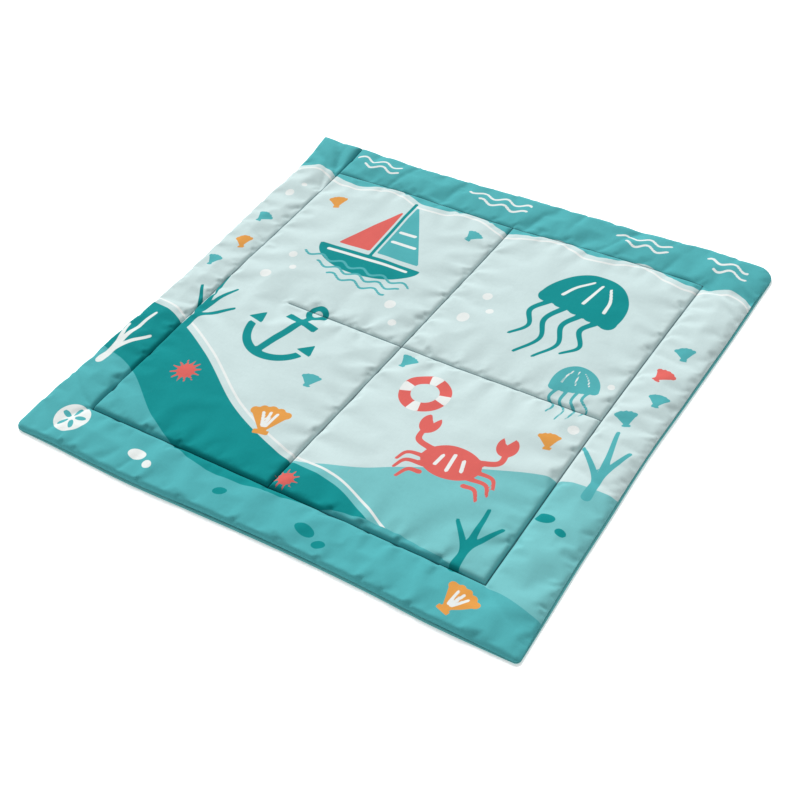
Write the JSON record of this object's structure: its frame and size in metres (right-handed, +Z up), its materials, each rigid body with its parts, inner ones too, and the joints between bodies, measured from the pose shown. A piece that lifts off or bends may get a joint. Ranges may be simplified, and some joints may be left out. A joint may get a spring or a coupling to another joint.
{
  "type": "quilted baby play mat",
  "caption": "Square padded floor mat with a quilted, printed front and a plain back, for a baby to lie and play on.",
  "frame": {"origin": "on the floor, under the middle of the mat's outline", "axes": "+Z up out of the printed face, +X along the near side to the right, +Y towards the far side"},
  "size_m": [1.0122, 1.0088, 0.0219],
  "materials": {
    "front_cloth": "matt printed cotton, quilted, pale aqua with teal, coral and orange motifs",
    "back_cloth": "matt plain cotton, mid teal"
  },
  "bodies": {
    "root": {"front_panel": "front_cloth", "back_panel": "back_cloth"}
  },
  "joints": []
}
